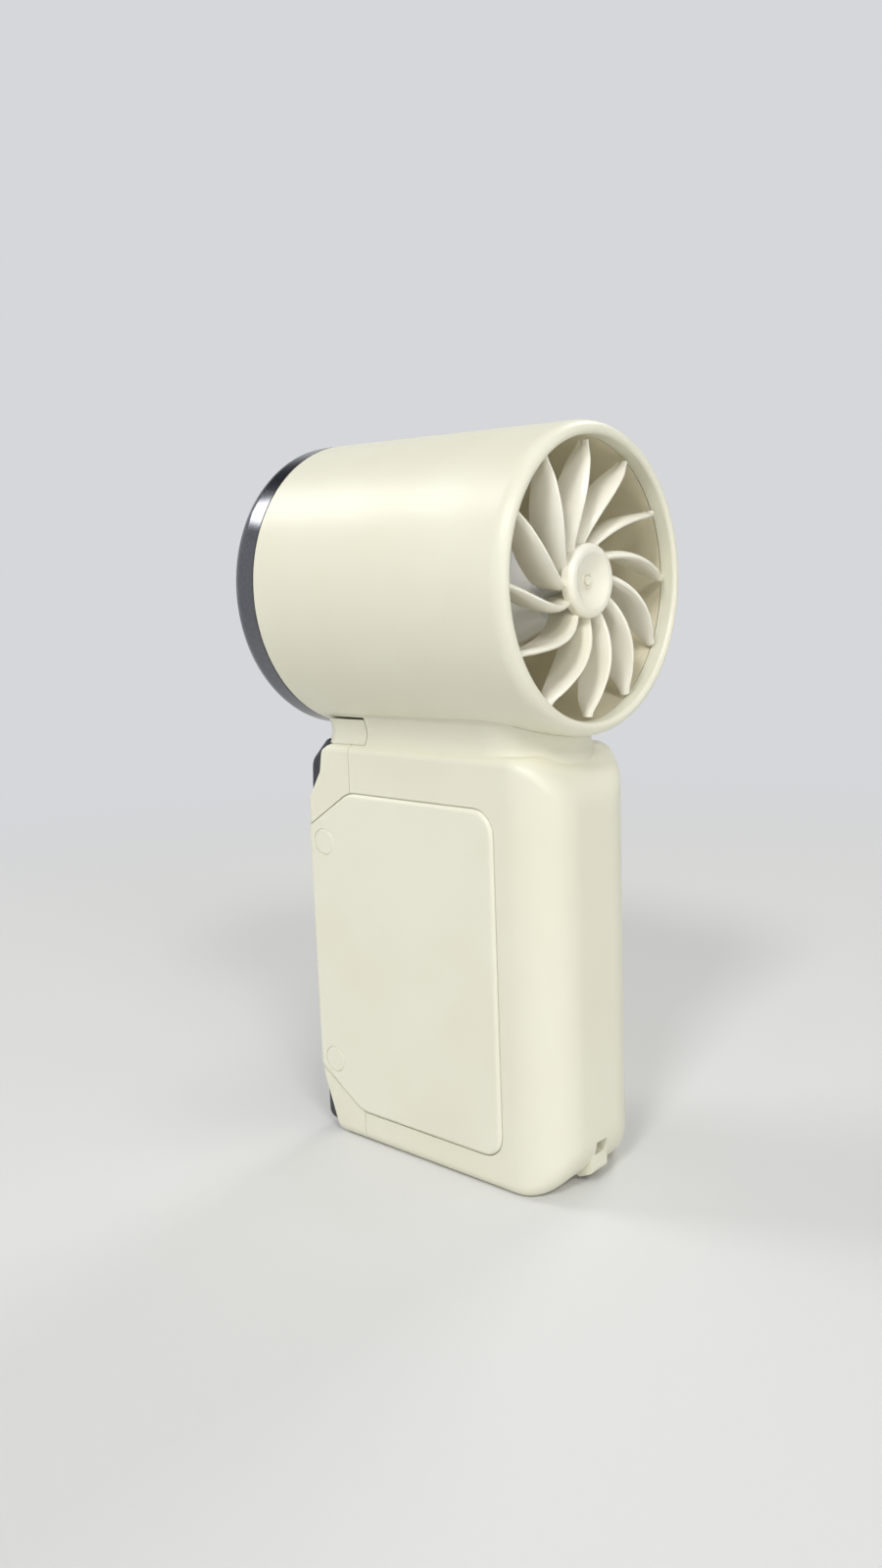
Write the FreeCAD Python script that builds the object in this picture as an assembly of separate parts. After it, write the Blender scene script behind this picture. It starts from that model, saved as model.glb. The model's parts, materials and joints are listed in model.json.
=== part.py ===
import FreeCAD, Part
import math
import os

# A handheld rechargeable turbo fan: a short air duct on top of a flat battery grip.
# Millimetres. +Z is up, -Y is the side that the air leaves by, +Y is the intake side,
# and +X is the right-hand side panel. The origin is under the middle, on the table.

V = FreeCAD.Vector
X_AXIS = V(1, 0, 0)
Y_AXIS = V(0, 1, 0)
Z_AXIS = V(0, 0, 1)

# ---- air duct (its axis runs along Y) ----
axis_height = 123.8
rim_y = 36.65            # rear rim plane, intake side
seam_y = -28.55          # joint between the housing and the outlet ring
ring_front_y = -36.65
housing_rear_r = 30.0
housing_front_r = 30.7
housing_bore_r = 28.5
lip_r = 27.2
lip_depth = 3.4
rim_round = 1.85          # outer rounding of the rear rim, across
rim_round_depth = 3.2    # and along the duct
lip_round = 0.85
ring_nose_r = 4.0
ring_mouth_r = 25.6
ring_gap = 0.3
spigot_depth = 3.0
liner_wall = 1.2
seat_gap = 0.25          # open joint line between two parts of one body
slip_fit = 0.1           # clearance of a part that slides into another and stays

# ---- impeller ----
blade_count = 12
hub_r = 7.2
hub_rear_y = 35.15
hub_thickness = 2.4
hub_dish_depth = 1.8
hub_dish_rim = 1.8
hub_pin_r = 0.8
hub_pin_height = 0.6
hub_edge_r = 1.1
hub_boss_r = 2.4
blade_inner_r = 5.4
hub_boss_length = 4.15
tip_clearance = 0.9
blade_tip_angle = 90.0
blade_sweep = 34.5       # degrees from the root back to the tip
blade_sweep_power = 1.5
blade_root_y = 33.3
blade_tip_y = 34.1
blade_bulge = 2.4        # leading edge stands this far to the rear at mid span
blade_chord_root = 6.4
blade_chord_mid = 7.4
blade_chord_tip = 2.0
blade_camber_root = 0.0  # the section's bow, against the way it turns where it is positive
blade_camber_mid = -0.3
blade_camber_tip = 0.4
blade_peak = 0.42        # where along the span the chord and the bow are largest
blade_thick_root = 2.0
blade_thick_tip = 1.3
# the section's thickness along the chord, as shares of the thickest place
blade_thickness = ((0.0, 0.52), (0.06, 0.76), (0.2, 1.0), (0.45, 0.92), (0.72, 0.62), (1.0, 0.28))

# ---- motor ----
shaft_r = 1.0
bearing_gap = 0.04       # running clearance of the shaft in a bearing
bearing_r = 3.0
bearing_width = 3.0
collar_r = 5.0
collar_rear_y = 31.75
collar_spigot_r = 4.0
collar_front_y = 20.0
nose_rear_y = 26.05
nose_rear_r = 7.85
pod_r = 14.75
pod_wall = 1.5
pod_rear_y = 10.5
pod_front_y = -14.0
bulkhead_thickness = 2.0
bell_r = 12.0
bell_wall = 1.0
bell_rear_y = 8.2
bell_front_y = -6.4
magnet_thickness = 1.1
air_gap = 0.35
core_half_length = 4.0
core_teeth = 9
base_thickness = 1.5
base_tube_r = 4.0
tail_length = 15.0

# ---- guide vanes ----
vane_count = 9
vane_rear_y = 4.0
vane_front_y = -13.0
vane_thickness = 1.3
vane_bow = 3.2
strut_half_width = 2.3
lead_r = 1.1
lead_y = -9.0
lead_offset = 9.6        # the connector's place in front of the strut

# ---- battery grip ----
body_half = 16.0
body_front_y = -31.45
body_rear_y = 35.0
body_top = 90.6
corner_r = 10.75
front_corner_r = 0.8
bottom_side_r = 2.6
bottom_rear_r = 10.7
top_side_r = 2.0
top_rear_r = 10.7
wall = 2.0
cavity_corner_r = 8.0
cavity_top_r = 8.4
body_seam_y = -18.15
seam_gap = 0.03          # the closed joint between the two shells
neck_seam_y = -14.25
web_rear_y = -25.9
web_thickness = 1.5
cheek_half = 14.5
bevel_height = 15.2      # slanted lower front edge of the cheeks
bevel_foot_y = -26.2
bevel_foot_r = 3.0
scoop_top_y = -22.6
scoop_depth_y = -26.4
scoop_low_z = 77.2

# ---- neck ----
neck_half = 13.8
neck_front_y = -27.0
neck_rear_y = 30.8
neck_corner_r = 13.4
neck_front_corner_r = 3.5
neck_wall = 2.0
neck_top = 96.6
neck_flare = 1.6         # the walls stand out this far at the foot
neck_spread = 1.1        # and this far under the duct
waist_rise = 2.6         # the narrowest place, above the grip's top
neck_gap = 0.5           # open slot between the front shell's neck and the duct
skirt_half = 15.0
skirt_flare = 5.0
skirt_height = 5.2

# ---- side panels ----
panel_proud = 0.6
panel_sink = 0.9
panel_rear_y = 21.5
panel_top = 80.1
panel_bottom = 7.2
panel_corner_r = 5.0
panel_bend_r = 7.0
panel_slant_y = -18.8
panel_slant_top = 71.8
panel_slant_bottom = 15.6
panel_edge_r = 1.1
panel_gap = 0.15
mark_r = 3.0
mark_y = -26.5
mark_depth = 0.15

# ---- front plate ----
plate_half = 14.25
plate_front_y = -32.35
plate_top = 91.6
plate_bottom = 1.6
plate_thickness = 2.2
plate_flange = 1.2
plate_side_r = 1.2
plate_bend_z = 80.6      # the face leans back above this height
plate_lean = 0.35
plate_shoulder_z = 86.2
plate_neck_gap = 0.45
roll_z = 82.0            # above this the plate's solid top wraps the foot of the neck
roll_rear_y = -24.6
lens_fit = 0.05
button_z = 36.6
button_r = 5.5
button_proud = 1.0
button_travel = 0.8
button_gap = 0.1
lens_z = 60.6
lens_half_width = 8.0
lens_half_height = 9.5
lens_thickness = 1.4

# ---- electronics and cells ----
board_half = 8.6
board_thickness = 1.2
board_bottom = 4.4
board_top = 80.0
board_standoff = 1.3
cell_r = 9.25
cell_length = 65.0
cell_bottom = 7.4
cell_front_y = -0.3
cell_pitch = 19.4
strip_thickness = 0.4
tray_wall = 1.6
socket_width = 8.94
socket_height = 3.26
socket_depth = 7.35
socket_wall = 0.35
switch_half = 3.0
switch_height = 2.2

# ---- fasteners ----
screw_r = 1.0
screw_head_r = 1.7
screw_head_height = 1.2
boss_r = 2.2
boss_x = 11.2
boss_heights = (18.0, 74.0)

# ---- lanyard lug ----
lug_half = 2.6
lug_rear_y = 34.35
lug_slot_half = 1.7
lug_slot_bottom = 6.7
lug_slot_top = 9.55
lug_bar = 2.2
lug_channel = 1.6
lug_back = 1.3
lug_foot = 1.3
lug_top = 10.2

liner_r = housing_bore_r - slip_fit
liner_bore_r = liner_r - liner_wall
liner_front_y = seam_y + spigot_depth
liner_rear_y = rim_y - lip_depth - seat_gap
hub_front_y = hub_rear_y - hub_thickness
boss_front_y = hub_front_y - hub_boss_length
blade_tip_r = liner_bore_r - tip_clearance
web_front_y = web_rear_y - web_thickness
board_rear_y = web_rear_y + board_standoff + board_thickness
board_front_y = web_rear_y + board_standoff
top_wall_z = body_top - wall
panel_face = body_half + panel_proud


def box(x0, x1, y0, y1, z0, z1):
    return Part.makeBox(x1 - x0, y1 - y0, z1 - z0, V(x0, y0, z0))


def duct_cylinder(radius, y0, y1):
    return Part.makeCylinder(radius, y1 - y0, V(0, y0, axis_height), Y_AXIS)


def duct_ring(outer, inner, y0, y1):
    return duct_cylinder(outer, y0, y1).cut(duct_cylinder(inner, y0 - 1, y1 + 1))


def along_y(radius, x, z, y0, y1):
    return Part.makeCylinder(radius, y1 - y0, V(x, y0, z), Y_AXIS)


def along_z(radius, x, y, z0, z1):
    return Part.makeCylinder(radius, z1 - z0, V(x, y, z0), Z_AXIS)


def spun(edges):
    """Turn a closed outline of (radius, y) edges round the duct axis."""
    face = Part.Face(Part.Wire(edges))
    return face.revolve(V(0, 0, axis_height), Y_AXIS, 360)


def duct_point(radius, y):
    return V(radius, y, axis_height)


def polyline(points):
    return [Part.LineSegment(a, b).toShape() for a, b in zip(points, points[1:])]


def spun_outline(points):
    """Turn straight-sided (radius, y) points round the duct axis."""
    ring = [duct_point(r, y) for r, y in points]
    return spun(polyline(ring + ring[:1]))


def fused(shapes):
    result = shapes[0]
    for shape in shapes[1:]:
        result = result.fuse(shape)
    return result.removeSplitter()


def turned(shape, degrees):
    """A copy turned about the duct axis."""
    copy = shape.copy()
    copy.rotate(V(0, 0, axis_height), Y_AXIS, degrees)
    return copy


def side_plate(points, radii, x0, x1):
    """A plate with its outline in the YZ plane and each corner rounded to its own radius."""
    count = len(points)
    flat = [V(x0, y, z) for y, z in points]
    ends = []
    for i in range(count):
        corner = flat[i]
        back = (flat[i - 1] - corner).normalize()
        ahead = (flat[(i + 1) % count] - corner).normalize()
        half = back.getAngle(ahead) / 2
        if radii[i] == 0:
            ends.append((corner, None, corner))
            continue
        reach = radii[i] / math.tan(half)
        middle = (back + ahead).normalize() * (radii[i] / math.sin(half) - radii[i])
        ends.append((corner + back * reach, corner + middle, corner + ahead * reach))
    edges = []
    for i in range(count):
        start, mid, end = ends[i]
        if mid is not None:
            edges.append(Part.Arc(start, mid, end).toShape())
        following = ends[(i + 1) % count][0]
        if end.distanceToPoint(following) > 1e-6:
            edges.append(Part.LineSegment(end, following).toShape())
    return Part.Face(Part.Wire(edges)).extrude(V(x1 - x0, 0, 0))


def plan_wire(half, y0, y1, front_r, rear_r, z):
    """A rectangle in plan with two rounded front corners and two rounded rear ones."""
    def bend(cx, cy, r, start):
        points = [V(cx + r * math.cos(math.radians(a)), cy + r * math.sin(math.radians(a)), z)
                  for a in (start, start + 45, start + 90)]
        return points
    bends = [bend(half - front_r, y0 + front_r, front_r, -90),
             bend(half - rear_r, y1 - rear_r, rear_r, 0),
             bend(rear_r - half, y1 - rear_r, rear_r, 90),
             bend(front_r - half, y0 + front_r, front_r, 180)]
    edges = []
    for i, (start, mid, end) in enumerate(bends):
        edges.append(Part.Arc(start, mid, end).toShape())
        edges.append(Part.LineSegment(end, bends[(i + 1) % 4][0]).toShape())
    return Part.Wire(edges)


def plan_prism(half, y0, y1, front_r, rear_r, z0, z1):
    wire = plan_wire(half, y0, y1, front_r, rear_r, z0)
    return Part.Face(wire).extrude(V(0, 0, z1 - z0))


def edge_fillets(shape, rule):
    """Round each edge for which rule(edge) gives its start and end radius."""
    scratch = FreeCAD.newDocument("rounding")
    base = scratch.addObject("Part::Feature", "base")
    base.Shape = shape
    fillet = scratch.addObject("Part::Fillet", "fillet")
    fillet.Base = base
    chosen = []
    for number, edge in enumerate(base.Shape.Edges, 1):
        radii = rule(edge)
        if radii is not None:
            chosen.append((number,) + radii)
    fillet.Edges = chosen
    scratch.recompute()
    result = fillet.Shape.copy()
    FreeCAD.closeDocument(scratch.Name)
    return result


def hemmed(block, front_y, low, high):
    """Round the bottom and top edges: a radius along the sides that grows to one at the rear."""
    middle_z = block.BoundBox.Center.z

    def rule(edge):
        span = edge.BoundBox
        if span.ZLength > 0.01 or span.YMax < front_y:
            return None
        side, rear = low if span.ZMax < middle_z else high
        if span.YLength < 0.01:
            return (rear, rear)
        if span.XLength < 0.01:
            return (side, side)
        starts_forward = edge.valueAt(edge.FirstParameter).y < edge.valueAt(edge.LastParameter).y
        return (side, rear) if starts_forward else (rear, side)
    return edge_fillets(block, rule)


def grip_block():
    """The grip's outside: flat sides, round rear corners and a generous rear hem."""
    block = plan_prism(body_half, body_front_y, body_rear_y, front_corner_r, corner_r, 0, body_top)
    return hemmed(block, body_front_y + front_corner_r + 0.01, (bottom_side_r, bottom_rear_r),
                  (top_side_r, top_rear_r))


def grip_cavity():
    """The hollow inside the grip, behind the front web."""
    inner = plan_prism(body_half - wall, body_front_y - 10, body_rear_y - wall, 0.5,
                       cavity_corner_r + 0.5, wall, top_wall_z)
    hollow = hemmed(inner, body_front_y, (cavity_corner_r, cavity_corner_r), (1.0, cavity_top_r))
    return hollow.common(box(-body_half, body_half, web_rear_y, body_rear_y, 0, body_top))


def cheek_profile(x0, x1):
    """The grip seen from the side, with the scooped top front and the bevelled lower front."""
    points = [(body_front_y, bevel_height), (bevel_foot_y, 0), (body_rear_y + 1, 0),
              (body_rear_y + 1, body_top + 1), (scoop_top_y, body_top + 1),
              (scoop_depth_y, body_top - 1.6), (scoop_depth_y - 0.8, body_top - 6.4),
              (body_front_y, scoop_low_z)]
    return side_plate(points, (1.5, bevel_foot_r, 0, 0, 0, 2.2, 3.0, 3.0), x0, x1)


def neck_outline(grow, z0, z1):
    return plan_prism(neck_half + grow, neck_front_y - grow, neck_rear_y + grow,
                      neck_front_corner_r + grow, neck_corner_r + grow, z0, z1)


def neck_growth(height):
    """How far the neck's walls stand outside its waist at a height above the grip's top."""
    if height < waist_rise:
        return neck_flare * min(1.0, (waist_rise - height) / (waist_rise + 0.9)) ** 2
    return neck_spread * ((height - waist_rise) / (neck_top - body_top - waist_rise)) ** 1.6


def neck_solid():
    """The neck's outside: a waist that opens to the grip below it and to the duct above it."""
    wires = []
    for height in (-4.6, -0.9, -0.2, 0.6, 1.5, 2.6, 3.8, 4.9, neck_top - body_top):
        grow = neck_growth(height)
        wires.append(plan_wire(neck_half + grow, neck_front_y, neck_rear_y + 0.2 * grow,
                               neck_front_corner_r, neck_corner_r + 0.8 * grow, body_top + height))
    return Part.makeLoft(wires, True, True)


def neck_hollow(z0, z1):
    return plan_prism(neck_half - neck_wall, neck_front_y + neck_wall, neck_rear_y - neck_wall,
                      1.5, neck_corner_r - neck_wall, z0, z1)


def duct_relief(gap):
    """What the duct takes out of the neck below it."""
    cone = Part.makeCone(housing_front_r + gap, housing_rear_r + gap, rim_y - seam_y,
                         V(0, seam_y, axis_height), Y_AXIS)
    return cone.fuse(duct_cylinder(housing_front_r + gap, ring_front_y - 1, seam_y))


def panel_outline(grow, x0, x1):
    points = [(body_front_y - grow, panel_slant_bottom), (panel_slant_y, panel_bottom - grow),
              (panel_rear_y + grow, panel_bottom - grow), (panel_rear_y + grow, panel_top + grow),
              (panel_slant_y, panel_top + grow), (body_front_y - grow, panel_slant_top)]
    corner = panel_corner_r + grow
    return side_plate(points, (2.0, panel_bend_r, corner, corner, panel_bend_r, 2.0), x0, x1)


def grip_shell():
    """The walls of the grip below the neck, before they are parted at the seam."""
    outside = grip_block().common(cheek_profile(-body_half - 1, body_half + 1))
    shell = outside.cut(grip_cavity())
    # the recess in front of the web, between the cheeks
    shell = shell.cut(box(-cheek_half, cheek_half, body_front_y - 1, web_front_y,
                          -1, body_top + 1))
    # at the top the web gives way to the foot of the neck, which the front plate wraps
    shell = shell.cut(box(-cheek_half, cheek_half, body_front_y - 1, roll_rear_y + 0.2,
                          roll_z, body_top + 1))
    foot = neck_outline(0, roll_z, body_top).cut(neck_hollow(roll_z - 1, body_top + 1))
    foot = foot.common(box(-body_half, body_half, body_front_y, roll_rear_y + 2.5, roll_z - 1, body_top))
    shell = shell.fuse(foot)
    for side in (-1, 1):
        near = side * (body_half - panel_sink)
        far = side * (body_half + 1)
        shell = shell.cut(panel_outline(panel_gap, min(near, far), max(near, far)))
    return shell


def neck_walls():
    return neck_solid().cut(neck_hollow(top_wall_z, neck_top + 9)).cut(grip_cavity())


def between(shape, y0, y1, z0=-2.0, z1=110.0):
    """The part of a shape between two planes across Y, and two across Z if given."""
    reach = body_half + 6
    return shape.common(box(-reach, reach, y0, y1, z0, z1))


def shell_boss_places():
    return [(side * boss_x, height) for side in (-1, 1) for height in boss_heights]


def duct_screw_places():
    return [(0, 21.0), (0, 4.0)]


def make_front_shell():
    shell = between(grip_shell(), body_front_y - 2, body_seam_y)
    neck = neck_walls().cut(duct_relief(neck_gap))
    shell = shell.fuse(between(neck, body_front_y, body_seam_y, body_top - 0.01))
    # the neck's front part laps over the rear shell's top wall
    shell = shell.fuse(between(neck, body_seam_y - 0.5, neck_seam_y, body_top + seam_gap))
    for x, z in shell_boss_places():
        side = 1 if x > 0 else -1
        pad = box(min(x, side * (body_half - wall + 0.5)), max(x, side * (body_half - wall + 0.5)),
                  web_rear_y - 0.5, body_seam_y, z - boss_r, z + boss_r)
        shell = shell.fuse(along_y(boss_r, x, z, web_rear_y - 0.5, body_seam_y).fuse(pad))
    for x, z in board_screw_places():
        shell = shell.fuse(along_y(2.0, x, z, web_rear_y - 0.5, board_front_y))
    for x, z in shell_boss_places():
        shell = shell.cut(along_y(screw_r + 0.15, x, z, web_front_y - 1, body_seam_y + 1))
    for x, z in board_screw_places():
        shell = shell.cut(along_y(screw_r, x, z, web_rear_y - 1.0, board_front_y + 1))
    # windows in the web for the display, the switch and the charging socket
    shell = shell.cut(box(-lens_half_width - 0.3, lens_half_width + 0.3, web_front_y - 1, web_rear_y + 1,
                          lens_z - lens_half_height - 0.3, lens_z + lens_half_height + 0.3))
    shell = shell.cut(along_y(switch_half * 1.5, 0, button_z, web_front_y - 1, web_rear_y + 0.9))
    return shell.cut(socket_opening()).removeSplitter()


def make_rear_shell():
    shell = between(grip_shell(), body_seam_y + seam_gap, body_rear_y + 2)
    neck = neck_walls().cut(duct_relief(0.0))
    shell = shell.fuse(between(neck, neck_seam_y + slip_fit, body_rear_y + 2))
    for x, z in shell_boss_places():
        side = 1 if x > 0 else -1
        far = body_seam_y + 9.0
        pad = box(min(x, side * (body_half - wall + 0.5)), max(x, side * (body_half - wall + 0.5)),
                  body_seam_y + seam_gap, far, z - boss_r, z + boss_r)
        boss = along_y(boss_r, x, z, body_seam_y + seam_gap, far).fuse(pad)
        shell = shell.fuse(boss).cut(along_y(screw_r, x, z, body_seam_y - 1, far - 1))
    # two ribs on the floor carry the battery tray
    for y in (cell_front_y + 2, cell_front_y + cell_pitch - 2):
        shell = shell.fuse(box(-8, 8, y, y + 1.6, wall - 0.5, tray_bottom()))
    # holes in the wall under the duct: two screws and the motor lead
    for x, y in duct_screw_places():
        shell = shell.cut(along_z(screw_r + 0.15, x, y, top_wall_z - 1, body_top + 1))
    shell = shell.cut(along_z(2.4, 0, lead_y - 0.3, top_wall_z - 1, body_top + 1))
    return lanyard_lug(shell).removeSplitter()


def lanyard_lug(shell):
    """A bar across a small channel at the foot of the rear face, for a wrist loop."""
    inner_y = lug_rear_y - lug_bar - lug_channel
    points = [(inner_y - lug_back, wall), (lug_rear_y - 3.4, lug_foot), (lug_rear_y, lug_foot + 1.6),
              (lug_rear_y, lug_top), (inner_y - lug_back, lug_top + 2.5)]
    block = side_plate(points, (0, 0.8, 1.4, 0, 0), -lug_half, lug_half)
    shell = shell.fuse(block)
    channel = box(-lug_slot_half, lug_slot_half, inner_y, lug_rear_y - lug_bar, -1, lug_slot_top)
    mouth = box(-lug_slot_half, lug_slot_half, inner_y, body_rear_y + 1, lug_slot_bottom, lug_slot_top)
    return shell.cut(channel.fuse(mouth))


def make_head_housing():
    rear = rim_y
    outer_a = duct_point(housing_rear_r, rear - rim_round_depth)
    crown_a = duct_point(housing_rear_r - rim_round, rear)
    crown_b = duct_point(lip_r + lip_round, rear)
    inner_a = duct_point(lip_r, rear - lip_round)
    bend = lip_round * (1 - math.sqrt(0.5))
    oval = Part.Ellipse(crown_a, outer_a, duct_point(housing_rear_r - rim_round, rear - rim_round_depth))
    edges = [Part.LineSegment(duct_point(housing_front_r, seam_y), outer_a).toShape(),
             Part.ArcOfEllipse(oval, 0, math.pi / 2).toShape(),
             Part.LineSegment(crown_a, crown_b).toShape(),
             Part.Arc(crown_b, duct_point(lip_r + bend, rear - bend), inner_a).toShape()]
    edges += polyline([inner_a, duct_point(lip_r, rear - lip_depth),
                       duct_point(housing_bore_r, rear - lip_depth),
                       duct_point(housing_bore_r, seam_y), duct_point(housing_front_r, seam_y)])
    tube = spun(edges)
    # a flared skirt carries the tube on the neck
    steps = 6
    wires = []
    for i in range(steps + 1):
        rise = i / steps
        grow = skirt_flare * (1 - math.sqrt(max(0.0, 1 - rise * rise)))
        front = neck_front_y + 1.9
        wires.append(plan_wire(skirt_half + grow, front - 0.15 * grow, neck_rear_y + 0.8 + 0.5 * grow,
                               neck_front_corner_r, neck_corner_r + 0.8,
                               neck_top + skirt_height * rise))
    skirt = Part.makeLoft(wires, True, True)
    skirt = skirt.cut(duct_cylinder(housing_bore_r + 0.5, ring_front_y, rim_y))
    housing = tube.fuse(skirt)
    # bosses that the duct screws bite into, standing on the wall below
    for x, y in duct_screw_places():
        boss = along_z(boss_r, x, y, body_top, axis_height - housing_bore_r)
        boss = boss.cut(duct_cylinder(housing_bore_r, ring_front_y, rim_y))
        housing = housing.fuse(boss).cut(along_z(screw_r, x, y, body_top - 1, body_top + 3.6))
    housing = housing.cut(along_z(lead_r + 0.3, 0, lead_y, body_top, axis_height - 20))
    return housing.removeSplitter()


def make_outlet_ring():
    """The metal trim ring that closes the duct's outlet."""
    outer = housing_front_r
    start = seam_y - ring_gap
    nose = ring_nose_r
    bend = nose * (1 - math.sqrt(0.5))
    side = duct_point(outer, ring_front_y + nose)
    front = duct_point(outer - nose, ring_front_y)
    mouth_r = 0.6
    in_front = duct_point(ring_mouth_r + mouth_r, ring_front_y)
    in_back = duct_point(ring_mouth_r, ring_front_y + mouth_r)
    small = mouth_r * (1 - math.sqrt(0.5))
    edges = [Part.LineSegment(duct_point(outer, start), side).toShape(),
             Part.Arc(side, duct_point(outer - bend, ring_front_y + bend), front).toShape(),
             Part.LineSegment(front, in_front).toShape(),
             Part.Arc(in_front, duct_point(ring_mouth_r + small, ring_front_y + small), in_back).toShape()]
    edges += polyline([in_back, duct_point(ring_mouth_r, ring_front_y + 2.5),
                       duct_point(liner_bore_r, seam_y - 1.0), duct_point(liner_bore_r, liner_front_y),
                       duct_point(liner_r, liner_front_y), duct_point(liner_r, start),
                       duct_point(outer, start)])
    return spun(edges)


def humped(root, crest, tip, u):
    """A size that grows from the root of a blade to its crest and shrinks to the tip."""
    if u < blade_peak:
        return crest - (crest - root) * ((blade_peak - u) / blade_peak) ** 2
    return crest - (crest - tip) * ((u - blade_peak) / (1 - blade_peak)) ** 2


def blade_shape(u):
    """Angle, leading edge place, chord, camber and thickness of the blade at span fraction u."""
    angle = blade_tip_angle - blade_sweep * (1 - u) ** blade_sweep_power
    lead_edge = blade_root_y + (blade_tip_y - blade_root_y) * u + blade_bulge * math.sin(math.pi * u)
    chord = humped(blade_chord_root, blade_chord_mid, blade_chord_tip, u)
    camber = humped(blade_camber_root, blade_camber_mid, blade_camber_tip, u)
    thick = blade_thick_root + (blade_thick_tip - blade_thick_root) * u
    return angle, lead_edge, chord, camber, thick


def blade_section(radius, u):
    """A closed flat section of the blade, square to its span at this radius."""
    angle, lead_edge, chord, camber, thick = blade_shape(u)
    turn = math.radians(angle)
    centre = V(radius * math.cos(turn), 0, axis_height + radius * math.sin(turn))
    aside = V(-math.sin(turn), 0, math.cos(turn))
    faces = ([], [])
    for s, share in blade_thickness:
        shift = camber * 4 * s * (1 - s)
        place = lead_edge - chord * s
        slope = math.atan2(camber * 4 * (1 - 2 * s), chord)
        half = 0.5 * thick * share
        for points, sign in zip(faces, (half, -half)):
            points.append(centre + aside * (shift + sign * math.cos(slope))
                          + Y_AXIS * (place + sign * math.sin(slope)))
    lit, far = faces
    nose_slope = math.atan2(camber * 4, chord)
    nose = (lit[0] + far[0]) / 2
    nose += (Y_AXIS * math.cos(nose_slope) - aside * math.sin(nose_slope)) * thick * blade_thickness[0][1] / 2.6
    upper = Part.BSplineCurve()
    upper.interpolate(Points=lit)
    lower = Part.BSplineCurve()
    lower.interpolate(Points=far[::-1])
    return Part.Wire([upper.toShape(), Part.LineSegment(lit[-1], far[-1]).toShape(),
                      lower.toShape(), Part.Arc(far[0], nose, lit[0]).toShape()])


def make_impeller():
    spans = 7
    sections = [blade_section(blade_inner_r - 1.0, 0.0)]
    for i in range(spans + 1):
        u = i / spans
        sections.append(blade_section(hub_r + (blade_tip_r - hub_r) * u, u))
    sections.append(blade_section(blade_tip_r + 0.6, 1.0))
    blade = Part.makeLoft(sections, True, False)
    blade = blade.common(duct_ring(blade_tip_r, blade_inner_r, seam_y, rim_y + 5))
    dish_span = hub_r - hub_dish_rim
    dish_r = (dish_span ** 2 + hub_dish_depth ** 2) / (2 * hub_dish_depth)
    dish = Part.makeSphere(dish_r, V(0, hub_rear_y - hub_dish_depth + dish_r, axis_height))
    hub = duct_cylinder(hub_r, hub_front_y, hub_rear_y).cut(dish)

    def rule(edge):
        span = edge.BoundBox
        if span.YMin < hub_rear_y - 0.1:
            return None
        return (hub_edge_r, hub_edge_r) if span.XLength > 2 * hub_r - 0.1 else (0.5, 0.5)
    hub = edge_fillets(hub, rule)
    floor_y = hub_rear_y - hub_dish_depth
    pin = duct_cylinder(hub_pin_r, floor_y - 0.3, floor_y + hub_pin_height)
    boss = duct_cylinder(hub_boss_r, boss_front_y, hub_front_y + 0.5)
    wheel = hub.fuse(boss).fuse(pin)
    for i in range(blade_count):
        wheel = wheel.fuse(turned(blade, 360.0 * i / blade_count))
    bore = duct_cylinder(shaft_r, boss_front_y - 1, shaft_rear_y())
    return wheel.cut(bore).removeSplitter()


def shaft_rear_y():
    return hub_front_y + 0.3


def shaft_front_y():
    return bulkhead_rear_y() + 0.6


def bulkhead_rear_y():
    return pod_front_y + bulkhead_thickness


def make_motor_shaft():
    return duct_cylinder(shaft_r, shaft_front_y(), shaft_rear_y())


def make_bearing(y0):
    return duct_ring(bearing_r, shaft_r + bearing_gap, y0, y0 + bearing_width)


def rear_bearing_y():
    return boss_front_y - 0.6 - bearing_width


def make_bearing_housing():
    """The turned aluminium collar behind the impeller hub."""
    body = duct_cylinder(collar_r, nose_rear_y, collar_rear_y)
    body = edge_fillets(body, lambda e: (0.5, 0.5) if e.BoundBox.YMin > collar_rear_y - 0.1
                        and e.BoundBox.XLength > collar_r else None)
    body = body.fuse(duct_cylinder(collar_spigot_r, collar_front_y, nose_rear_y + 0.1))
    body = body.cut(duct_cylinder(bearing_r, rear_bearing_y(), collar_rear_y + 1))
    return body.cut(duct_cylinder(shaft_r + 0.6, collar_front_y - 1, rear_bearing_y() + 0.1)).removeSplitter()


def make_nose_cone():
    """The pale cone between the collar and the motor pod."""
    return spun_outline([(collar_spigot_r, nose_rear_y), (nose_rear_r, nose_rear_y),
                         (pod_r, pod_rear_y), (pod_r - pod_wall, pod_rear_y),
                         (pod_r - pod_wall, pod_rear_y + 0.5),
                         (nose_rear_r - pod_wall, nose_rear_y - pod_wall - 0.6),
                         (collar_spigot_r, nose_rear_y - pod_wall - 0.6)])


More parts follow.
